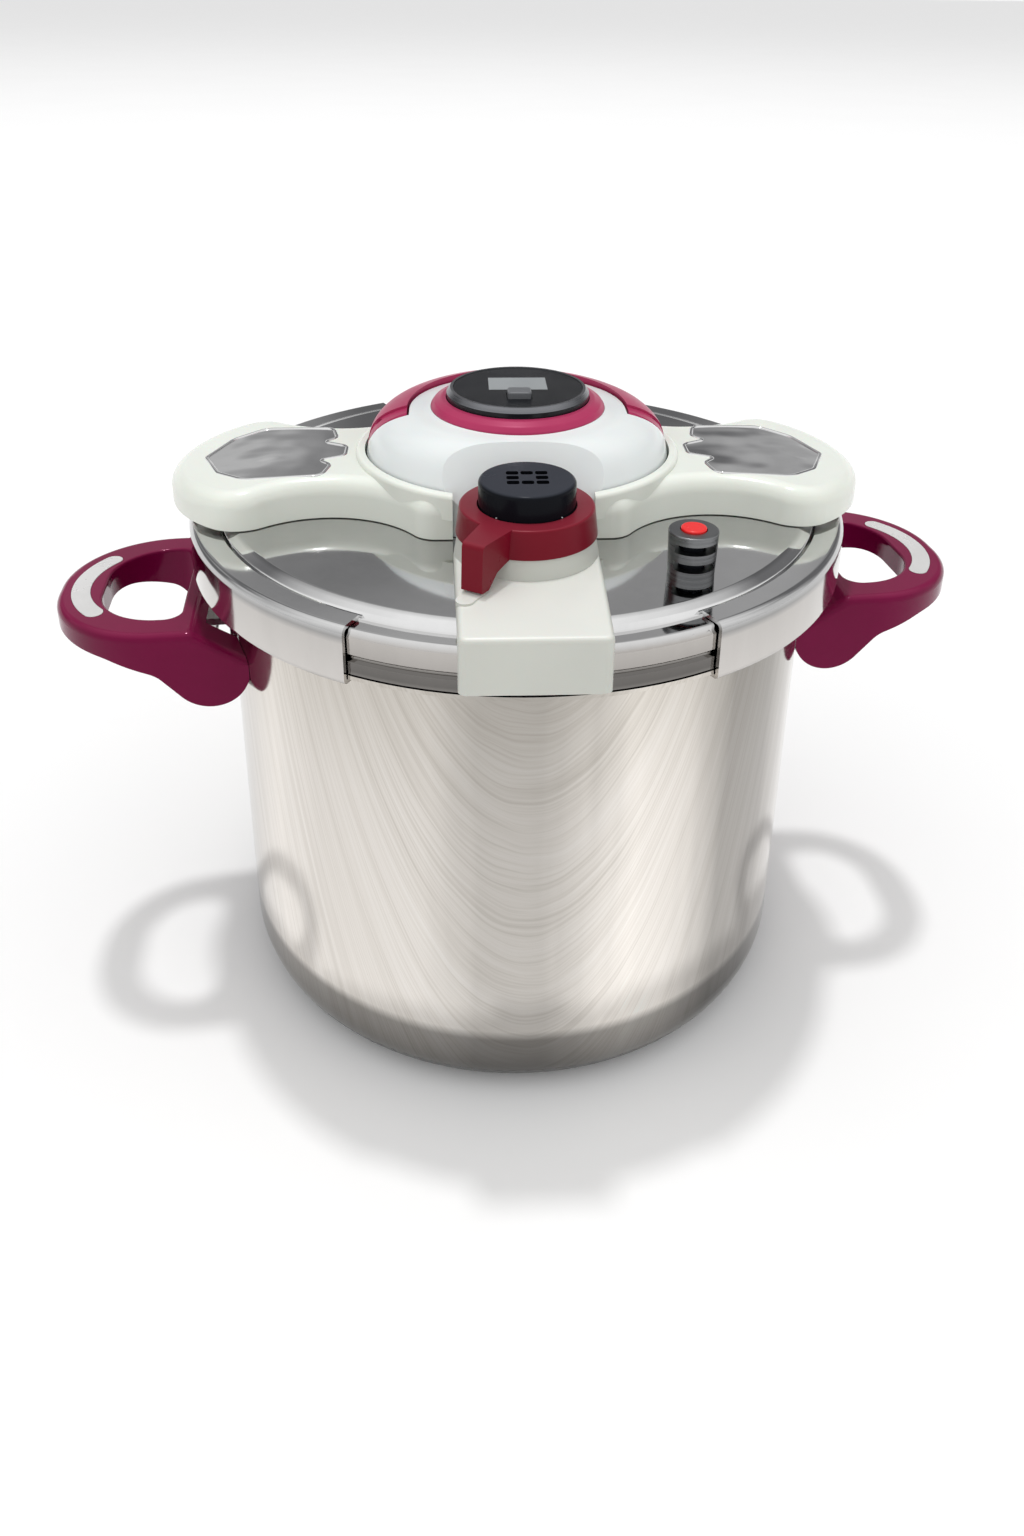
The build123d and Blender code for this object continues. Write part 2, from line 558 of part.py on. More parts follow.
def x_rod(radius, x0, x1, z):
    """A round rod along X between two places."""
    with BuildSketch(Plane.YZ.offset(x0)) as section:
        with Locations((0, z)):
            Circle(radius)
    return section.sketch, x1 - x0


with BuildPart() as bail_pocket:
    # the space that the folded bail fills, with its running clearance
    with BuildSketch(Plane.XY.offset(BAIL_FOOT - CLEAR)):
        Circle(70)
        Circle(BAIL_INNER_R - BAIL_GAP, mode=Mode.SUBTRACT)
        with Locations((0, 50 + 1.2)):
            Rectangle(200, 100, mode=Mode.INTERSECT)
    extrude(amount=30)
    add(dome_solid(inset=BAIL_T + CLEAR), mode=Mode.SUBTRACT)

with BuildPart() as dome_cover:
    add(dome_solid())
    # sloping face at the front, and the hollow that clears the valve
    with BuildSketch(Plane.YZ):
        with BuildLine():
            Polyline((-41.3, 247), (-39.5, 250.5), (-75, 250.5), (-75, 214), (-58.2, 214), close=True)
        make_face()
    extrude(amount=70, both=True, mode=Mode.SUBTRACT)
    disc(SELECTOR_R + 0.8, 210, SELECTOR_TOP + 0.6, y=VALVE_Y, mode=Mode.SUBTRACT)
    add(bail_pocket.part, mode=Mode.SUBTRACT)
    pocket_x = BAIL_INNER_R - BAIL_GAP
    for x0 in (pocket_x, -70):
        rod, length = x_rod(KNUCKLE_R + CLEAR, x0, x0 + 70 - pocket_x, BAIL_PIVOT_Z)
        extrude(rod, amount=length, mode=Mode.SUBTRACT)
        # the upright bail's front edge drops in here
        block(x0, x0 + 70 - pocket_x, -KNUCKLE_R - 0.6, 0, BAIL_PIVOT_Z, 255, mode=Mode.SUBTRACT)
    rod, length = x_rod(BAIL_PIN_R + 0.05, -60, 60, BAIL_PIVOT_Z)
    extrude(rod, amount=length, mode=Mode.SUBTRACT)
    # hollow inside, with four posts for the screws
    with BuildSketch(Plane.XY.offset(DOME_BOTTOM - 1)):
        add(dome_plan(-12.5))
        for sx, sy in DOME_SCREWS:
            with Locations((sx, sy)):
                Circle(3.6, mode=Mode.SUBTRACT)
    extrude(amount=229 - DOME_BOTTOM + 1, mode=Mode.SUBTRACT)
    disc(33, 228.9, 240, mode=Mode.SUBTRACT)
    for sx, sy in DOME_SCREWS:
        disc(3.8, DOME_BOTTOM - 1, 220.65, x=sx, y=sy, mode=Mode.SUBTRACT)
        disc(THREAD_HOLE_R, 219, 228.9, x=sx, y=sy, mode=Mode.SUBTRACT)
    block(-70, 70, -ARM_HALF_W - 0.6, ARM_HALF_W + 0.6, DOME_BOTTOM - 1, 218.4, mode=Mode.SUBTRACT)
    disc(SEAT_R + 0.1, 247.0, 260, mode=Mode.SUBTRACT)
    disc(TIMER_R + CLEAR, TIMER_FLOOR, 260, mode=Mode.SUBTRACT)
save(dome_cover, "dome_cover")

with BuildPart() as dome_screws:
    for sx, sy in DOME_SCREWS:
        disc(2.6, LID_TOP + 0.1, LID_TOP + 1.6, x=sx, y=sy)
        disc(1.5, LID_TOP + 1.6, 220.6, x=sx, y=sy)
        disc(SHANK_R, 220.6, 228, x=sx, y=sy)
save(dome_screws, "dome_screws")

with BuildPart() as timer_seat:
    with BuildSketch(Plane.XZ):
        with BuildLine():
            inner = TIMER_R + CLEAR
            FilletPolyline(
                (inner, 247.05), (SEAT_R, 247.05), (SEAT_R, 249.8), (33.9, 251.6), (31.0, 253.0),
                (inner, 253.2),
                radius=[0.2, 1.0, 2.0, 2.0]
            )
            Line((inner, 253.2), (inner, 247.05))
        make_face()
    revolve(axis=Axis.Z)
save(timer_seat, "timer_seat")

# ---------------------------------------------------------------- bail
with BuildPart() as bail_handle:
    # the outer skin rises towards the back
    tilt = radians(BAIL_TILT)
    with Locations(Location((0, BAIL_PIVOT_Z * sin(tilt), BAIL_PIVOT_Z * (1 - cos(tilt))), (BAIL_TILT, 0, 0))):
        add(dome_solid(lift=BAIL_LIFT))
    add(dome_solid(inset=BAIL_T), mode=Mode.SUBTRACT)
    with BuildSketch(Plane.XY.offset(BAIL_FOOT)):
        Circle(70)
        Circle(BAIL_INNER_R, mode=Mode.SUBTRACT)
        with Locations((0, 50 + 1.5)):
            Rectangle(200, 100, mode=Mode.INTERSECT)
    extrude(amount=30, mode=Mode.INTERSECT)
with BuildPart() as bail_knuckles:
    add(dome_solid())
    with BuildSketch(Plane.YZ):
        with Locations((0, BAIL_PIVOT_Z)):
            Circle(KNUCKLE_R)
    extrude(amount=70, both=True, mode=Mode.INTERSECT)
    block(-BAIL_INNER_R, BAIL_INNER_R, -20, 20, 200, 260, mode=Mode.SUBTRACT)
with BuildPart() as bail_whole:
    add(bail_handle.part)
    add(bail_knuckles.part)
    rod, length = x_rod(BAIL_PIN_R + 0.06, -60, 60, BAIL_PIVOT_Z)
    extrude(rod, amount=length, mode=Mode.SUBTRACT)
save(bail_whole, "bail_handle")

with BuildPart() as bail_pins:
    for x0 in (38, -51):
        rod, length = x_rod(BAIL_PIN_R, x0, x0 + 13, BAIL_PIVOT_Z)
        extrude(rod, amount=length)
save(bail_pins, "bail_pins")

# ---------------------------------------------------------------- timer
with BuildPart() as timer_case:
    disc(TIMER_R, TIMER_FLOOR + 0.1, 255.2)
    disc(TIMER_R - 1.8, TIMER_FLOOR + 1.6, 256, mode=Mode.SUBTRACT)
    fillet(edges().group_by(Axis.Z)[0], radius=0.6)
save(timer_case, "timer_case")

with BuildPart() as timer_bezel:
    with BuildSketch(Plane.XZ):
        with BuildLine():
            Polyline((26.2, 255.25), (TIMER_R, 255.25), (27.3, TIMER_TOP), (26.2, TIMER_TOP), close=True)
        make_face()
    revolve(axis=Axis.Z)
save(timer_bezel, "timer_bezel")

BUTTON_Y, BUTTON_W, BUTTON_D = -12.0, 9.4, 7.4
LCD_W, LCD_D, LCD_Y = 23.6, 16.0, 4.2
with BuildPart() as timer_face:
    disc(26.1, 255.25, TIMER_TOP - 0.2)
    block(-LCD_W / 2, LCD_W / 2, LCD_Y - LCD_D / 2, LCD_Y + LCD_D / 2, 256.2, 258, mode=Mode.SUBTRACT)
    block(-BUTTON_W / 2 - 0.3, BUTTON_W / 2 + 0.3, BUTTON_Y - BUTTON_D / 2 - 0.3, BUTTON_Y + BUTTON_D / 2 + 0.3,
          255, 258, mode=Mode.SUBTRACT)
save(timer_face, "timer_face")

with BuildPart() as timer_display:
    gap = 0.05
    block(-LCD_W / 2 + gap, LCD_W / 2 - gap, LCD_Y - LCD_D / 2 + gap, LCD_Y + LCD_D / 2 - gap, 256.25, 257.0)
save(timer_display, "timer_display")

with BuildPart() as timer_board:
    disc(26.4, 251.0, 252.2)
save(timer_board, "timer_board")

with BuildPart() as timer_battery:
    disc(10, 247.1, 250.3, x=-8)
save(timer_battery, "timer_battery")

with BuildPart() as timer_button:
    block(-BUTTON_W / 2, BUTTON_W / 2, BUTTON_Y - BUTTON_D / 2, BUTTON_Y + BUTTON_D / 2, 256.0, 259.6)
    fillet(edges().filter_by(Axis.Z), radius=1.6)
    fillet(edges().group_by(Axis.Z)[-1], radius=0.7)
    disc(2, 253.2, 256.1, y=BUTTON_Y)
save(timer_button, "timer_button")

# ---------------------------------------------------------------- valve housing
lever_dir = Vector(-sin(radians(LEVER_ANGLE)), -cos(radians(LEVER_ANGLE)), 0)
lever_side = Vector(-lever_dir.Y, lever_dir.X, 0)
with BuildPart() as valve_housing:
    under = LID_TOP + 0.3
    with BuildSketch(Plane.YZ):
        with BuildLine():
            Polyline(
                (-46, under), (-46, HOUSING_TOP), (-98, HOUSING_TOP), (HOUSING_FRONT_Y, 217.4),
                (HOUSING_FRONT_Y, HOUSING_SKIRT), (-125, HOUSING_SKIRT), (-125, 210.8), (-122.4, 210.8),
                (-120.6, under), close=True
            )
        make_face()
    extrude(amount=30, both=True)
    with BuildSketch(Plane.XY.offset(HOUSING_SKIRT - 5)):
        with BuildLine():
            Polyline(
                (-HOUSING_HALF_FRONT, HOUSING_FRONT_Y), (HOUSING_HALF_FRONT, HOUSING_FRONT_Y),
                (HOUSING_HALF_BACK, VALVE_Y), (-HOUSING_HALF_BACK, VALVE_Y), close=True
            )
        make_face()
        fillet(vertices().group_by(Axis.Y)[0], radius=3)
        with Locations((0, VALVE_Y)):
            Circle(HOUSING_HALF_BACK)
    extrude(amount=40, mode=Mode.INTERSECT)
    front_top = edges().filter_by_position(Axis.Y, HOUSING_FRONT_Y - 1, HOUSING_FRONT_Y + 3.2)
    fillet(front_top.filter_by_position(Axis.Z, 216.5, 219), radius=2.2)
    disc(LID_R + 0.9, 190, 210.8, mode=Mode.SUBTRACT)
    with BuildSketch(Plane.XY.offset(HOUSING_TOP - 0.6)):
        with Locations((0, VALVE_Y)):
            Circle(26.1)
    extrude(amount=COLLAR_TOP - HOUSING_TOP + 0.6, taper=10)
    disc(SPIGOT_R, COLLAR_TOP - 0.5, SPIGOT_TOP, y=VALVE_Y)
    disc(BORE_R, 200, SPIGOT_TOP + 1, y=VALVE_Y, mode=Mode.SUBTRACT)
    block(-15, 15, -118, -98, 200, 216.4, mode=Mode.SUBTRACT)
    # mark on the top that the lever points at
    with BuildSketch(Plane(origin=(0, VALVE_Y, HOUSING_TOP - 1.4), x_dir=lever_dir)):
        with Locations((40, 0)):
            SlotOverall(16, 6.4)
    extrude(amount=1.5)
    for sx in (-1, 1):
        disc(THREAD_HOLE_R, 200, 216.8, x=sx * HOUSING_SCREW_X, y=HOUSING_SCREW_Y, mode=Mode.SUBTRACT)
save(valve_housing, "valve_housing")

with BuildPart() as housing_screws:
    for sx in (-1, 1):
        disc(3, 210.6, LID_TOP - LID_GAUGE - 0.05, x=sx * HOUSING_SCREW_X, y=HOUSING_SCREW_Y)
        disc(SHANK_R, LID_TOP - LID_GAUGE - 0.05, 216.5, x=sx * HOUSING_SCREW_X, y=HOUSING_SCREW_Y)
save(housing_screws, "housing_screws")

with BuildPart() as steam_conduit:
    disc(7, 203, LID_TOP, y=VALVE_Y)
    disc(12, LID_TOP, LID_TOP + 2.4, y=VALVE_Y)
    disc(5.4, LID_TOP + 2, 234, y=VALVE_Y)
    chamfer(edges().group_by(Axis.Z)[-1], length=1)
    disc(2, 200, 240, y=VALVE_Y, mode=Mode.SUBTRACT)
save(steam_conduit, "steam_conduit")

with BuildPart() as conduit_nut:
    hex_nut(20, 7.05, 206.5, LID_TOP - LID_GAUGE - 0.05, y=VALVE_Y)
save(conduit_nut, "conduit_nut")

with BuildPart() as lever:
    # side profile in the radial plane, then the wedge-shaped plan
    with BuildSketch(Plane(origin=(0, VALVE_Y, 0), x_dir=lever_dir, z_dir=-lever_side)):
        with BuildLine():
            lever_tip = HOUSING_TOP + 0.9
            FilletPolyline(
                (20, SELECTOR_TOP), (LEVER_REACH - 0.8, SELECTOR_TOP), (LEVER_REACH, lever_tip),
                (LEVER_REACH - 4, lever_tip), (LEVER_REACH - 9, SELECTOR_BOTTOM - 2), (24, SELECTOR_BOTTOM),
                radius=[2, 0.6, 0.6, 2]
            )
            Polyline((24, SELECTOR_BOTTOM), (20, SELECTOR_BOTTOM), (20, SELECTOR_TOP))
        make_face()
    extrude(amount=8, both=True)
    with BuildSketch(Plane(origin=(0, VALVE_Y, 210), x_dir=lever_dir)):
        with BuildLine():
            Polyline((15, -7.0), (45, -3.4), (45, 3.4), (15, 7.0), close=True)
        make_face()
    extrude(amount=40, mode=Mode.INTERSECT)

with BuildPart() as selector_ring:
    add(lever.part)
    with BuildSketch(Plane.XY.offset(SELECTOR_BOTTOM)):
        with Locations((0, VALVE_Y)):
            Circle(SELECTOR_R)
    extrude(amount=SELECTOR_TOP - SELECTOR_BOTTOM, taper=7)
    fillet(faces().sort_by(Axis.Z)[-1].edges().filter_by(GeomType.CIRCLE), radius=0.9)
    disc(SPIGOT_R + CLEAR, SELECTOR_BOTTOM - 1, SPIGOT_TOP + CLEAR, y=VALVE_Y, mode=Mode.SUBTRACT)
    disc(BORE_R + 0.2, SELECTOR_BOTTOM - 1, SELECTOR_TOP + 1, y=VALVE_Y, mode=Mode.SUBTRACT)
save(selector_ring, "selector_ring")

with BuildPart() as valve_cap:
    disc(CAP_R, CAP_BOTTOM, CAP_TOP, y=VALVE_Y)
    fillet(edges().group_by(Axis.Z)[-1], radius=1.6)
    disc(CAP_R - 2, CAP_BOTTOM - 1, CAP_TOP - 2.5, y=VALVE_Y, mode=Mode.SUBTRACT)
    # ring of eight steam slots, three by three with the middle left closed
    with BuildSketch(Plane.XY.offset(CAP_TOP - 4)):
        with Locations((0, VALVE_Y + 0.8)):
            with GridLocations(5.2, 4.5, 3, 3):
                RectangleRounded(4.4, 3.2, 0.9)
            Rectangle(4.6, 3.6, mode=Mode.SUBTRACT)
    extrude(amount=6, mode=Mode.SUBTRACT)
save(valve_cap, "valve_cap")

with BuildPart() as valve_weight:
    disc(CAP_R - 2.1, 234.3, CAP_TOP - 3.6, y=VALVE_Y)
    disc(3, 230, 237, y=VALVE_Y, mode=Mode.SUBTRACT)
save(valve_weight, "valve_weight")

# ---------------------------------------------------------------- pressure indicator
with BuildPart() as indicator_body:
    with BuildSketch(Plane.XY.offset(LID_TOP)):
        with Locations((IND_X, IND_Y)):
            Circle(8.4)
    extrude(amount=IND_TOP - LID_TOP, taper=-2)
    fillet(edges().group_by(Axis.Z)[-1], radius=0.5)
    for window_z in (216.9, 223.8):
        block(IND_X - 7.3, IND_X + 7.3, IND_Y - 12, IND_Y + 12, window_z, window_z + 3.3, mode=Mode.SUBTRACT)
    disc(5.4, 205, LID_TOP + 0.5, x=IND_X, y=IND_Y)
    disc(2.5, 200, 232, x=IND_X, y=IND_Y, mode=Mode.SUBTRACT)
    disc(4.9, LID_TOP + 1.5, 232, x=IND_X, y=IND_Y, mode=Mode.SUBTRACT)
save(indicator_body, "indicator_body")

with BuildPart() as indicator_core:
    disc(4.85, LID_TOP + 1.55, 227.0, x=IND_X, y=IND_Y)
    disc(2.5, 200, 232, x=IND_X, y=IND_Y, mode=Mode.SUBTRACT)
save(indicator_core, "indicator_core")

with BuildPart() as indicator_nut:
    hex_nut(15, 5.45, 206.5, LID_TOP - LID_GAUGE - 0.05, x=IND_X, y=IND_Y)
save(indicator_nut, "indicator_nut")

with BuildPart() as indicator_pin:
    disc(4.6, 227.2, IND_TOP + 0.9, x=IND_X, y=IND_Y)
    fillet(edges().group_by(Axis.Z)[-1], radius=0.6)
    disc(2.2, 199, 227.3, x=IND_X, y=IND_Y)
    disc(3.8, 197, 199.4, x=IND_X, y=IND_Y)
save(indicator_pin, "indicator_pin")

# ---------------------------------------------------------------- safety valve, under the dome
with BuildPart() as safety_body:
    disc(6.5, LID_TOP, 220, y=SAFETY_Y)
    disc(5, 204, LID_TOP, y=SAFETY_Y)
    disc(2.7, 206, 218.6, y=SAFETY_Y, mode=Mode.SUBTRACT)
    disc(1.6, 200, 207, y=SAFETY_Y, mode=Mode.SUBTRACT)
save(safety_body, "safety_body")

with BuildPart() as safety_nut:
    hex_nut(14, 5.05, 207, LID_TOP - LID_GAUGE - 0.05, y=SAFETY_Y)
save(safety_nut, "safety_nut")

with BuildPart() as safety_ball:
    with Locations((0, SAFETY_Y, 208.6)):
        Sphere(2.4)
save(safety_ball, "safety_ball")

with BuildPart() as safety_spring:
    with BuildLine():
        turns = Helix(pitch=1.3, height=6.0, radius=2.0, center=(0, SAFETY_Y, 211.6))
    with BuildSketch(Plane(origin=turns @ 0, z_dir=turns % 0)):
        Circle(0.35)
    sweep(path=turns, is_frenet=True)
save(safety_spring, "safety_spring")
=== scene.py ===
import math

import bmesh
import bpy
from mathutils import Matrix, Vector


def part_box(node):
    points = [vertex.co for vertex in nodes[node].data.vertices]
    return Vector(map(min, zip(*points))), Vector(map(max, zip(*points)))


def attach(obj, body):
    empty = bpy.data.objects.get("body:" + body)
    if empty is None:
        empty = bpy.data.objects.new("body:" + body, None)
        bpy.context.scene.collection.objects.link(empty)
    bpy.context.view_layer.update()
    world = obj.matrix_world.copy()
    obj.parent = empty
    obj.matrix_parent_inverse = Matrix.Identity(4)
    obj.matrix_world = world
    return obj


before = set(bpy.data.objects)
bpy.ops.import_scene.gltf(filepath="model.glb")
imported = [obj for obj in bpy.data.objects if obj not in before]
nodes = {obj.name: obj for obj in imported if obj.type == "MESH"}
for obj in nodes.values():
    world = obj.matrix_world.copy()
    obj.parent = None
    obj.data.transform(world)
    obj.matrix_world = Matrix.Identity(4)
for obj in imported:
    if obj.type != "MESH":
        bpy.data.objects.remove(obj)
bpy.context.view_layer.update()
scene = bpy.context.scene
MM = 0.001
UP = Vector((0, 0, 1))


# ---------------------------------------------------------------- node helpers
class Graph:
    """Short calls for building one node tree."""

    def __init__(self, tree):
        self.tree = tree
        tree.nodes.clear()

    def add(self, kind):
        return self.tree.nodes.new(kind)

    def link(self, source, target):
        self.tree.links.new(source, target)
        return source

    def math(self, operation, a, b=None):
        node = self.add("ShaderNodeMath")
        node.operation = operation
        for socket, value in zip(node.inputs, (a, b)):
            if value is None:
                continue
            if isinstance(value, (int, float)):
                socket.default_value = value
            else:
                self.link(value, socket)
        return node.outputs[0]

    def scaled(self, value, factor):
        return self.math("MULTIPLY", value, factor)

    def remap(self, value, low, high, to_low=0.0, to_high=1.0):
        node = self.add("ShaderNodeMapRange")
        for name, number in (("From Min", low), ("From Max", high), ("To Min", to_low), ("To Max", to_high)):
            node.inputs[name].default_value = number
        self.link(value, node.inputs["Value"])
        return node.outputs[0]

    def noise(self, vector, scale, detail=4.0, rough=0.55):
        node = self.add("ShaderNodeTexNoise")
        node.inputs["Scale"].default_value = scale
        node.inputs["Detail"].default_value = detail
        node.inputs["Roughness"].default_value = rough
        self.link(vector, node.inputs["Vector"])
        return node.outputs[0]

    def ramp(self, value, *stops):
        node = self.add("ShaderNodeValToRGB")
        while len(node.color_ramp.elements) < len(stops):
            node.color_ramp.elements.new(0.5)
        for element, (place, colour) in zip(node.color_ramp.elements, stops):
            element.position = place
            element.color = (*colour, 1.0)
        self.link(value, node.inputs[0])
        return node.outputs[0]

    def split(self, vector):
        node = self.add("ShaderNodeSeparateXYZ")
        self.link(vector, node.inputs[0])
        return node.outputs

    def colours(self, operation, one, other):
        """Two colours multiplied or added, channel by channel."""
        node = self.add("ShaderNodeVectorMath")
        node.operation = operation
        self.link(one, node.inputs[0])
        self.link(other, node.inputs[1])
        return node.outputs[0]

    def combine(self, x, y, z=0.0):
        node = self.add("ShaderNodeCombineXYZ")
        for socket, value in zip(node.inputs, (x, y, z)):
            if isinstance(value, (int, float)):
                socket.default_value = value
            else:
                self.link(value, socket)
        return node.outputs[0]

    def bump(self, height, distance, strength=1.0):
        node = self.add("ShaderNodeBump")
        node.inputs["Distance"].default_value = distance
        node.inputs["Strength"].default_value = strength
        self.link(height, node.inputs["Height"])
        return node.outputs[0]


def shader(name):
    """A new material with a Principled shader: (material, graph, shader, object coordinates)."""
    material = bpy.data.materials.new(name)
    material.use_nodes = True
    graph = Graph(material.node_tree)
    out = graph.add("ShaderNodeOutputMaterial")
    principled = graph.add("ShaderNodeBsdfPrincipled")
    graph.link(principled.outputs[0], out.inputs[0])
    place = graph.add("ShaderNodeTexCoord").outputs["Object"]
    return material, graph, principled, place


def grey(tone, warm=0.0):
    return (tone, tone * (1 - warm * 0.5), tone * (1 - warm))


# a noise output stays near its middle, so ramps run between these two values
LOW, HIGH = 0.3, 0.7
# painted light: upward faces get a paler tone added to their colour
UP_FROM, UP_TO = 0.55, 0.98     # how far a face turns up before the paler tone begins, and where it is full
SKIN_DEPTH = 0.002


def plastic(name, dark, light, rough=(0.2, 0.3), gloss=0.5, tint=(1, 1, 1), depth=0.00002, skin=0.0, top=None):
    """Moulded plastic: slow colour drift, fine grain, uneven gloss, and painted light, a paler tone added on upward
    faces.
    """
    material, graph, principled, place = shader(name)
    colour = graph.ramp(graph.noise(place, 22.0, 3.0), (LOW, dark), (HIGH, light))
    if top:
        # painted light: a paler tone on faces that turn up
        facing = graph.split(graph.add("ShaderNodeTexCoord").outputs["Normal"])[2]
        added = graph.ramp(graph.remap(facing, UP_FROM, UP_TO), (0.0, grey(0.0)), (1.0, top))
        colour = graph.colours("ADD", colour, added)
    graph.link(colour, principled.inputs["Base Color"])
    smudge = graph.noise(place, 60.0, 5.0, 0.65)
    graph.link(graph.remap(smudge, LOW, HIGH, *rough), principled.inputs["Roughness"])
    fine = graph.noise(place, 420.0, 3.0, 0.6)
    graph.link(graph.bump(fine, depth, 0.6), principled.inputs["Normal"])
    principled.inputs["Specular IOR Level"].default_value = gloss
    principled.inputs["Specular Tint"].default_value = (*tint, 1.0)
    if skin:
        principled.inputs["Subsurface Weight"].default_value = skin
        principled.inputs["Subsurface Scale"].default_value = SKIN_DEPTH
    return material


def turned_metal(name, dark, light, rough):
    """Metal with fine turned lines round the Z axis."""
    material, graph, principled, place = shader(name)
    x, y, z = graph.split(place)
    lines = graph.combine(graph.scaled(x, 12.0), graph.scaled(y, 12.0), graph.scaled(z, 900.0))
    brush = graph.noise(lines, 1.0, 4.0, 0.65)
    graph.link(graph.ramp(brush, (LOW, dark), (HIGH, light)), principled.inputs["Base Color"])
    graph.link(graph.remap(brush, LOW, HIGH, *rough), principled.inputs["Roughness"])
    graph.link(graph.bump(brush, 0.00001, 0.5), principled.inputs["Normal"])
    principled.inputs["Metallic"].default_value = 1.0
    return material


def mirror_steel(name, dark, light, rough, wave, wave_scale=16.0, bands=(), metal=1.0):
    """Polished steel: a slow wave in the sheet, faint wipe marks, and, where given, painted shade and highlights by
    height.
    """
    material, graph, principled, place = shader(name)
    x, y, z = graph.split(place)
    smear = graph.combine(graph.scaled(x, 30.0), graph.scaled(y, 30.0), graph.scaled(z, 8.0))
    wipe = graph.noise(smear, 1.0, 5.0, 0.7)
    colour = graph.ramp(wipe, (LOW, dark), (HIGH, light))
    # painted shade and highlights: tones by height multiply the colour
    if bands:
        low, high = bands[0][0], bands[-1][0]
        stops = [((height - low) / (high - low), shade) for height, shade in bands]
        colour = graph.colours("MULTIPLY", colour, graph.ramp(graph.remap(z, low, high), *stops))
    graph.link(colour, principled.inputs["Base Color"])
    graph.link(graph.remap(wipe, LOW, HIGH, *rough), principled.inputs["Roughness"])
    swell = graph.noise(place, wave_scale, 1.0)
    fine = graph.noise(place, 900.0, 2.0)
    height = graph.math("ADD", graph.scaled(swell, wave), graph.scaled(fine, 0.002))
    graph.link(graph.bump(height, 0.001, 1.0), principled.inputs["Normal"])
    principled.inputs["Metallic"].default_value = metal
    return material


POT_R = 0.12                    # the pot wall's outer radius
WALL_REACH = 0.1203             # a little more, so that the arcsine stays defined at the sides
STROKE_BOW = 24.0               # how steeply the polishing strokes climb to the sides
STROKE_SWAY = 0.010
WALL_LOW, WALL_HIGH = 0.012, 0.19
# painted reflections round the wall, as light and dark upright stripes from the left side (0) to the right side
# (1), front and back alike
WALL_PAINTED_REFLECTIONS = (
    (0.0, 0.70), (0.09, 0.55), (0.20, 0.95), (0.275, 0.80), (0.40, 0.76), (0.455, 0.56), (0.51, 0.54),
    (0.555, 0.72), (0.60, 1.0), (0.655, 0.90), (0.72, 0.42), (0.79, 0.42), (0.89, 0.86), (1.0, 0.72),
)
# painted shade and reflection up the wall: a dark band at its foot for the pot's mirrored shadow, a paler strip
# just above it, and darker towards the rim
WALL_PAINTED_SHADE = (
    (0.0, (0.26, 0.26, 0.26)), (0.10, (0.46, 0.46, 0.46)), (0.125, (1.12, 1.12, 1.12)),
    (0.25, (1.05, 1.05, 1.05)), (0.7, (0.92, 0.915, 0.91)), (1.0, (0.74, 0.73, 0.71)),
)


def swept_steel(name):
    """Polished pot wall: fine strokes in nested arcs, upright at the sides, over painted reflections in light and
    dark upright stripes and painted shade by height.
    """
    material, graph, principled, place = shader(name)
    x, y, z = graph.split(place)
    turn = graph.math("ARCSINE", graph.scaled(x, 1 / WALL_REACH))
    around = graph.scaled(turn, POT_R)
    bow = graph.scaled(graph.math("MULTIPLY", around, around), STROKE_BOW)
    stroke = graph.math("SUBTRACT", z, bow)
    sway = graph.noise(graph.combine(around, stroke), 24.0, 2.0)
    stroke = graph.math("ADD", stroke, graph.scaled(sway, STROKE_SWAY))
    fine = graph.noise(graph.combine(graph.scaled(stroke, 620.0), graph.scaled(around, 14.0)), 1.0, 5.0, 0.6)
    broad = graph.noise(graph.combine(graph.scaled(stroke, 70.0), graph.scaled(around, 9.0)), 1.0, 2.0)
    both = graph.math("ADD", graph.scaled(fine, 0.62), graph.scaled(broad, 0.38))
    grain = graph.ramp(both, (0.34, (0.76, 0.745, 0.72)), (0.5, (0.93, 0.92, 0.905)), (0.64, (1.0, 1.0, 1.0)))
    edge = graph.noise(graph.combine(graph.scaled(around, 60.0), graph.scaled(z, 5.0)), 1.0, 2.0)
    side_to_side = graph.remap(turn, -math.pi / 2, math.pi / 2)
    banded = graph.math("ADD", side_to_side, graph.remap(edge, 0.0, 1.0, -0.025, 0.025))
    # painted reflections: light and dark upright stripes round the wall
    light = graph.ramp(banded, *[(spot, (tone, tone * 0.962, tone * 0.915)) for spot, tone in WALL_PAINTED_REFLECTIONS])
    # painted shade by height, with the pot's mirrored shadow at the foot of the wall
    fall = graph.ramp(graph.remap(z, WALL_LOW, WALL_HIGH), *WALL_PAINTED_SHADE)
    colour = graph.colours("MULTIPLY", graph.colours("MULTIPLY", light, fall), grain)
    graph.link(colour, principled.inputs["Base Color"])
    graph.link(graph.remap(both, 0.35, 0.65, 0.07, 0.13), principled.inputs["Roughness"])
    graph.link(graph.bump(fine, 0.00001, 0.5), principled.inputs["Normal"])
    principled.inputs["Metallic"].default_value = 1.0
    return material


# ---------------------------------------------------------------- materials
# painted shade and highlights by height in metres: dark tones stand for shade and mirrored shadow, pale ones are
# painted highlights
# painted shade: the base darkens towards the floor, for the pot's shadow mirrored in it
BASE_PAINTED_SHADE = ((0.0, grey(0.30)), (0.004, grey(0.55)), (0.009, grey(0.85)), (0.0122, grey(1.0)))
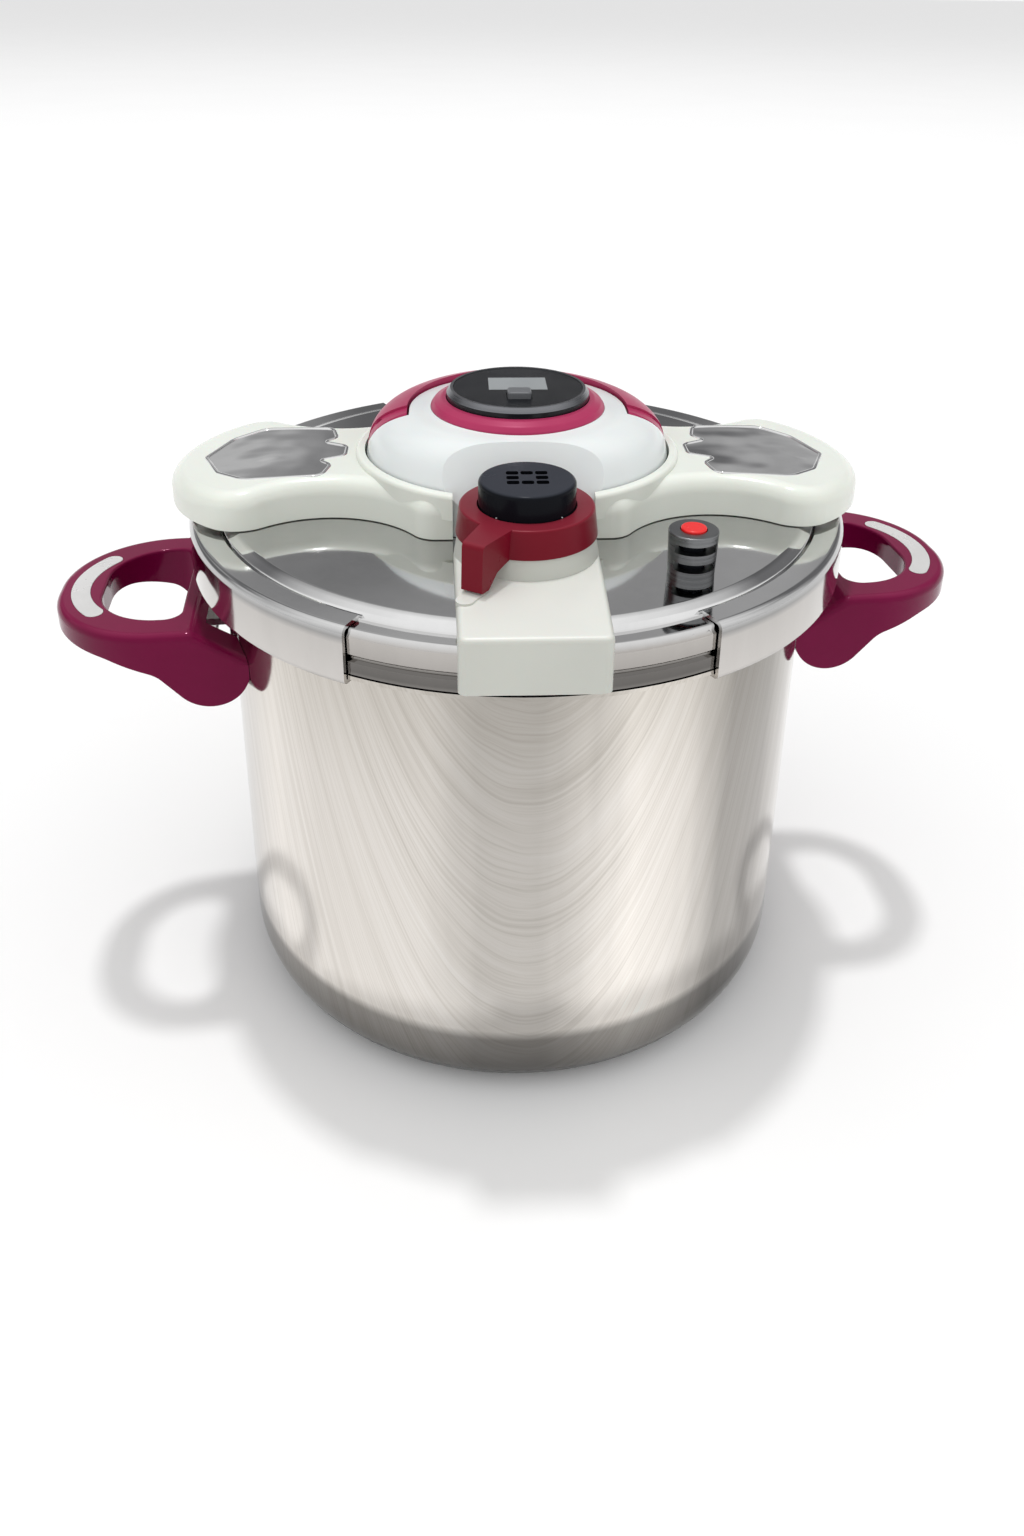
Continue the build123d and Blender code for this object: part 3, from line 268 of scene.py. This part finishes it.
# painted light on the lid: painted shade low on the skirt and in the groove, and a painted highlight along the
# rim's rounded edge
LID_PAINTED_LIGHT = (
    (0.190, grey(0.26, 0.1)), (0.1935, grey(0.36, 0.1)), (0.1955, grey(0.22, 0.1)), (0.1995, grey(0.26, 0.1)),
    (0.2015, grey(0.62, 0.1)), (0.2080, grey(0.74, 0.1)), (0.2095, grey(1.0, 0.02)), (0.2110, grey(1.25)),
    (0.2132, grey(1.3)), (0.2137, grey(0.93)), (0.2150, grey(0.93)),
)
# painted reflection on the jaws: darker at the foot, a dark band below the upper corner and a painted highlight
# along the corner
JAW_PAINTED_LIGHT = (
    (0.190, grey(0.55, 0.06)), (0.1925, grey(0.80, 0.08)), (0.2060, grey(0.72, 0.08)), (0.2085, grey(0.45, 0.03)),
    (0.2105, grey(0.70)), (0.2118, grey(1.0)), (0.2125, grey(0.86)),
)
PINK = (1.0, 0.42, 0.62)
PALE_RED = (1.0, 0.6, 0.6)

# steel
pot_steel = swept_steel("pot_steel")
# the base's dark tone is painted shade too, the pot's contact shadow mirrored in the base
base_steel = mirror_steel("base_steel", grey(0.10, 0.06), grey(0.13, 0.06), (0.22, 0.34), 0.0, bands=BASE_PAINTED_SHADE)
lid_steel = mirror_steel("lid_steel", grey(0.60), grey(0.67), (0.04, 0.08), 0.16, 12.0, LID_PAINTED_LIGHT)
jaw_steel = mirror_steel("jaw_steel", grey(0.70), grey(0.77), (0.05, 0.10), 0.10, 22.0, JAW_PAINTED_LIGHT)
trim_steel = mirror_steel("trim_steel", grey(0.74), grey(0.84), (0.03, 0.06), 1.3, 42.0)
handle_trim = mirror_steel(
    "handle_trim", grey(0.78, 0.02), grey(0.86, 0.02), (0.22, 0.3), 0.12, 30.0, metal=0.25
)

# turned metals
satin_steel = turned_metal("satin_steel", (0.15, 0.154, 0.16), (0.25, 0.255, 0.26), (0.24, 0.36))
timer_rim = turned_metal("timer_rim", (0.17, 0.175, 0.19), (0.24, 0.245, 0.26), (0.22, 0.32))
bright_hardware = turned_metal("bright_hardware", (0.55, 0.55, 0.54), (0.68, 0.68, 0.67), (0.18, 0.3))
brass = turned_metal("brass", (0.58, 0.42, 0.2), (0.72, 0.55, 0.28), (0.2, 0.32))

# plastics; the tone given for upward faces is painted light
raspberry = plastic(
    "raspberry", (0.118, 0.0010, 0.028), (0.150, 0.0015, 0.038), (0.07, 0.12),
    gloss=0.28, tint=PINK, top=(0.07, 0.012, 0.026),
)
crimson = plastic(
    "crimson", (0.145, 0.002, 0.011), (0.175, 0.0035, 0.016), (0.26, 0.36),
    gloss=0.24, tint=PALE_RED, top=(0.06, 0.015, 0.020),
)
bail_red = plastic(
    "bail_red", (0.37, 0.028, 0.095), (0.43, 0.04, 0.115), (0.28, 0.38), gloss=0.35, tint=PINK
)
ivory = plastic(
    "ivory", (0.715, 0.742, 0.672), (0.755, 0.78, 0.712), (0.16, 0.24), skin=0.05, top=(0.10, 0.105, 0.11)
)
cool_white = plastic(
    "cool_white", (0.735, 0.77, 0.77), (0.77, 0.805, 0.80), (0.12, 0.2), skin=0.05, top=grey(0.04)
)
satin_ivory = plastic(
    "satin_ivory", (0.52, 0.53, 0.485), (0.56, 0.57, 0.52), (0.30, 0.42), depth=0.00006, skin=0.05, top=grey(0.22)
)
black_plastic = plastic(
    "black_plastic", (0.0035, 0.004, 0.006), (0.007, 0.008, 0.011), (0.20, 0.28),
    gloss=0.06, depth=0.00003, top=(0.034, 0.037, 0.046),
)
timer_black = plastic("timer_black", (0.005, 0.0055, 0.007), (0.009, 0.010, 0.013), (0.16, 0.26), gloss=0.2)
grey_plastic = plastic("grey_plastic", (0.10, 0.105, 0.115), (0.14, 0.145, 0.155), (0.35, 0.45))
display_grey = plastic("display_grey", (0.30, 0.32, 0.33), (0.36, 0.38, 0.39), (0.12, 0.2))
red_plastic = plastic("red_plastic", (0.78, 0.012, 0.012), (0.88, 0.02, 0.02), (0.2, 0.3))
rubber = plastic("rubber", (0.03, 0.03, 0.032), (0.045, 0.045, 0.048), (0.55, 0.7), depth=0.00008)
board_green = plastic("board_green", (0.01, 0.06, 0.025), (0.02, 0.09, 0.04), (0.4, 0.5))

finish = {
    pot_steel: ["pot_shell"],
    base_steel: ["base_plate"],
    lid_steel: ["lid_shell"],
    jaw_steel: ["right_jaw", "left_jaw"],
    trim_steel: ["right_wing_inlay", "left_wing_inlay"],
    handle_trim: ["right_handle_inlay", "left_handle_inlay"],
    satin_steel: ["indicator_body"],
    timer_rim: ["timer_bezel"],
    bright_hardware: [
        "right_handle_bracket", "left_handle_bracket", "handle_screws", "right_arm", "left_arm", "right_arm_rivets",
        "left_arm_rivets", "right_wing_screws", "left_wing_screws", "dome_screws", "housing_screws", "centre_bolt",
        "centre_nut", "conduit_nut", "indicator_nut", "safety_nut", "bail_pins", "jaw_springs", "safety_spring",
        "safety_ball", "timer_battery",
    ],
    brass: ["steam_conduit", "safety_body", "valve_weight"],
    raspberry: ["right_handle", "left_handle"],
    crimson: ["selector_ring"],
    bail_red: ["bail_handle", "timer_seat"],
    ivory: ["right_wing", "left_wing"],
    cool_white: ["dome_cover"],
    satin_ivory: ["valve_housing"],
    black_plastic: ["valve_cap", "arm_guide", "indicator_core"],
    timer_black: ["timer_case", "timer_face"],
    grey_plastic: ["timer_button"],
    display_grey: ["timer_display"],
    red_plastic: ["indicator_pin"],
    rubber: ["lid_gasket"],
    board_green: ["timer_board"],
}
for material, names in finish.items():
    for name in names:
        mesh = nodes[name].data
        mesh.materials.clear()
        mesh.materials.append(material)


# ---------------------------------------------------------------- trim
def filleted(points, radii, steps=7):
    """A closed outline with each corner replaced by an arc of its radius."""
    outline = []
    for i, (corner, radius) in enumerate(zip(points, radii)):
        here = Vector(corner)
        before = (Vector(points[i - 1]) - here).normalized()
        after = (Vector(points[(i + 1) % len(points)]) - here).normalized()
        half = before.angle(after) / 2
        reach = radius / math.tan(half)
        centre = here + (before + after).normalized() * (radius / math.sin(half))
        start, end = here + before * reach - centre, here + after * reach - centre
        for step in range(steps + 1):
            t = step / steps
            sweep = start.lerp(end, t)
            outline.append(centre + sweep.normalized() * radius)
    return outline


def piece(name, mesh, material, body):
    """A finished Blender piece that rides on a body."""
    for face in mesh.polygons:
        face.use_smooth = True
    mesh.materials.append(material)
    thing = bpy.data.objects.new(name, mesh)
    scene.collection.objects.link(thing)
    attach(thing, body)


BEAD_SIDES = 12
BEAD_END = 0.3                  # how far an open bead's ends shrink


def bead(name, path, width, height, material, body, closed=True):
    """A raised bead of elliptical section along a path, built ring by ring."""
    work = bmesh.new()
    rings = []
    count = len(path)
    for i, spot in enumerate(path):
        if closed:
            ahead = path[(i + 1) % count] - path[i - 1]
        else:
            ahead = path[min(i + 1, count - 1)] - path[max(i - 1, 0)]
        side = Vector((ahead.y, -ahead.x, 0)).normalized()
        shrink = 1.0 if closed or 0 < i < count - 1 else BEAD_END
        ring = []
        for k in range(BEAD_SIDES):
            a = 2 * math.pi * k / BEAD_SIDES
            offset = side * math.cos(a) * width / 2 + UP * math.sin(a) * height
            ring.append(work.verts.new(spot + offset * shrink))
        rings.append(ring)
    for i in range(count if closed else count - 1):
        one, other = rings[i], rings[(i + 1) % count]
        for k in range(BEAD_SIDES):
            after = (k + 1) % BEAD_SIDES
            work.faces.new((one[k], one[after], other[after], other[k]))
    if not closed:
        work.faces.new(rings[0])
        work.faces.new(rings[-1][::-1])
    bmesh.ops.recalc_face_normals(work, faces=work.faces)
    mesh = bpy.data.meshes.new(name)
    work.to_mesh(mesh)
    work.free()
    piece(name, mesh, material, body)


# polished rims round the two plates on the wings, following the crowned tops: half of the outline, in mm,
# with its corner radii, from beside the outer tip round to the notch that faces the dome
TIP, TIP_RADIUS = (127, 0), 2.5
HALF_OUTLINE = [(119, 19), (107, 29), (77.5, 27), (75, 15.5), (80, 10.5), (70, 5.5)]
HALF_RADII = [9, 9, 4.5, 4.5, 1.6, 4]
CROWN_X, CROWN_R = 80.0, 418.5  # where a wing's top begins to fall, and the radius of its fall
RIM_WIDTH, RIM_HEIGHT = 1.7 * MM, 0.55 * MM
wing_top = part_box("right_wing_inlay")[1][2]


def crowned(point, side):
    """A point of the outline, set on the crowned top of one wing."""
    drop = CROWN_R - math.sqrt(CROWN_R ** 2 - max(point.x - CROWN_X, 0.0) ** 2)
    return Vector((side * point.x * MM, point.y * MM, wing_top - drop * MM))


rim_line = filleted(
    [TIP, *HALF_OUTLINE, *((x, -y) for x, y in reversed(HALF_OUTLINE))],
    [TIP_RADIUS, *HALF_RADII, *reversed(HALF_RADII)],
)
for side, hand in ((1, "right"), (-1, "left")):
    path = [crowned(point, side) for point in rim_line]
    bead(f"{hand}_inlay_rim", path, RIM_WIDTH, RIM_HEIGHT, trim_steel, f"{hand}_jaw")

# two pale ticks at the foot of the valve's cap
TICK_ANGLES = (-130.0, -50.0)
TICK_R, TICK_Z = 17.3 * MM, 0.2373
TICK_LENGTH, TICK_WIDTH, TICK_HEIGHT = 0.6 * MM, 0.7 * MM, 0.9 * MM
low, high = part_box("valve_cap")
cap_centre = Vector((0, (low[1] + high[1]) / 2, TICK_Z))
for index, angle in enumerate(TICK_ANGLES):
    outward = Vector((math.cos(math.radians(angle)), math.sin(math.radians(angle)), 0))
    foot = cap_centre + outward * TICK_R
    bead(
        f"cap_tick_{index + 1}", [foot, foot + outward * TICK_LENGTH], TICK_WIDTH, TICK_HEIGHT,
        cool_white, "valve_cap", closed=False,
    )

# ---------------------------------------------------------------- stage
FLOOR = 60.0                    # half the floor's width
floor_mesh = bpy.data.meshes.new("floor")
corners = [(-FLOOR, -FLOOR, 0), (FLOOR, -FLOOR, 0), (FLOOR, FLOOR, 0), (-FLOOR, FLOOR, 0)]
floor_mesh.from_pydata(corners, [], [(0, 1, 2, 3)])
floor = bpy.data.objects.new("floor", floor_mesh)
scene.collection.objects.link(floor)
floor_material, graph, principled, place = shader("floor_paper")
paper = graph.ramp(graph.noise(place, 3.0, 2.0), (LOW, grey(0.965)), (HIGH, grey(0.975)))
graph.link(paper, principled.inputs["Base Color"])
principled.inputs["Roughness"].default_value = 1.0
principled.inputs["Specular IOR Level"].default_value = 0.0
floor_mesh.materials.append(floor_material)

# a pale room with a soft dark card behind the object, for the steel to mirror
ROOM, CARD = grey(0.97), (0.16, 0.16, 0.165)
ROOM_STRENGTH = 0.98
world = bpy.data.worlds.new("studio")
scene.world = world
world.use_nodes = True
sky = Graph(world.node_tree)
out = sky.add("ShaderNodeOutputWorld")
background = sky.add("ShaderNodeBackground")
sky.link(background.outputs[0], out.inputs[0])
direction = sky.add("ShaderNodeTexCoord").outputs["Generated"]
_, back, up = sky.split(direction)
behind = sky.remap(back, -0.15, 0.45)
low_edge = sky.remap(up, 0.10, 0.24)
high_edge = sky.remap(up, 0.62, 0.86, 1.0, 0.0)
card = sky.math("MULTIPLY", sky.math("MULTIPLY", behind, low_edge), high_edge)
patch = sky.noise(direction, 2.6, 1.0)
card = sky.math("MULTIPLY", card, sky.remap(patch, 0.42, 0.62, 1.0, 0.55))
sky.link(sky.ramp(card, (0.0, ROOM), (1.0, CARD)), background.inputs["Color"])
background.inputs["Strength"].default_value = ROOM_STRENGTH

# one high lamp, a little behind the object, so that its shadow falls to the front
KEY_PLACE, KEY_TARGET = Vector((-0.2, 1.0, 8.0)), Vector((0, 0, 0.1))
KEY_SIZE, KEY_WATTS = 0.55, 195.0
light = bpy.data.lights.new("key", "AREA")
light.shape = "DISK"
light.size = KEY_SIZE
light.energy = KEY_WATTS
lamp = bpy.data.objects.new("key", light)
lamp.location = KEY_PLACE
lamp.rotation_mode = "QUATERNION"
lamp.rotation_quaternion = (KEY_TARGET - KEY_PLACE).to_track_quat("-Z", "Y")
scene.collection.objects.link(lamp)

# ---------------------------------------------------------------- camera
EYE = (-0.0242, -0.4622, 0.4045)
HEADING, DOWNWARD, ROLL = -2.78, 24.03, 0.64    # degrees
LENS, SENSOR = 28.07, 36.0
camera = bpy.data.cameras.new("camera")
camera.sensor_width = SENSOR
camera.lens = LENS
camera.shift_y = -0.1615
camera.clip_start = 0.02
eye = bpy.data.objects.new("camera", camera)
turn = (
    Matrix.Rotation(math.radians(HEADING), 4, "Z")
    @ Matrix.Rotation(math.radians(90 - DOWNWARD), 4, "X")
    @ Matrix.Rotation(math.radians(ROLL), 4, "Z")
)
eye.matrix_world = Matrix.Translation(EYE) @ turn
scene.collection.objects.link(eye)
scene.camera = eye
scene.view_settings.view_transform = "Standard"
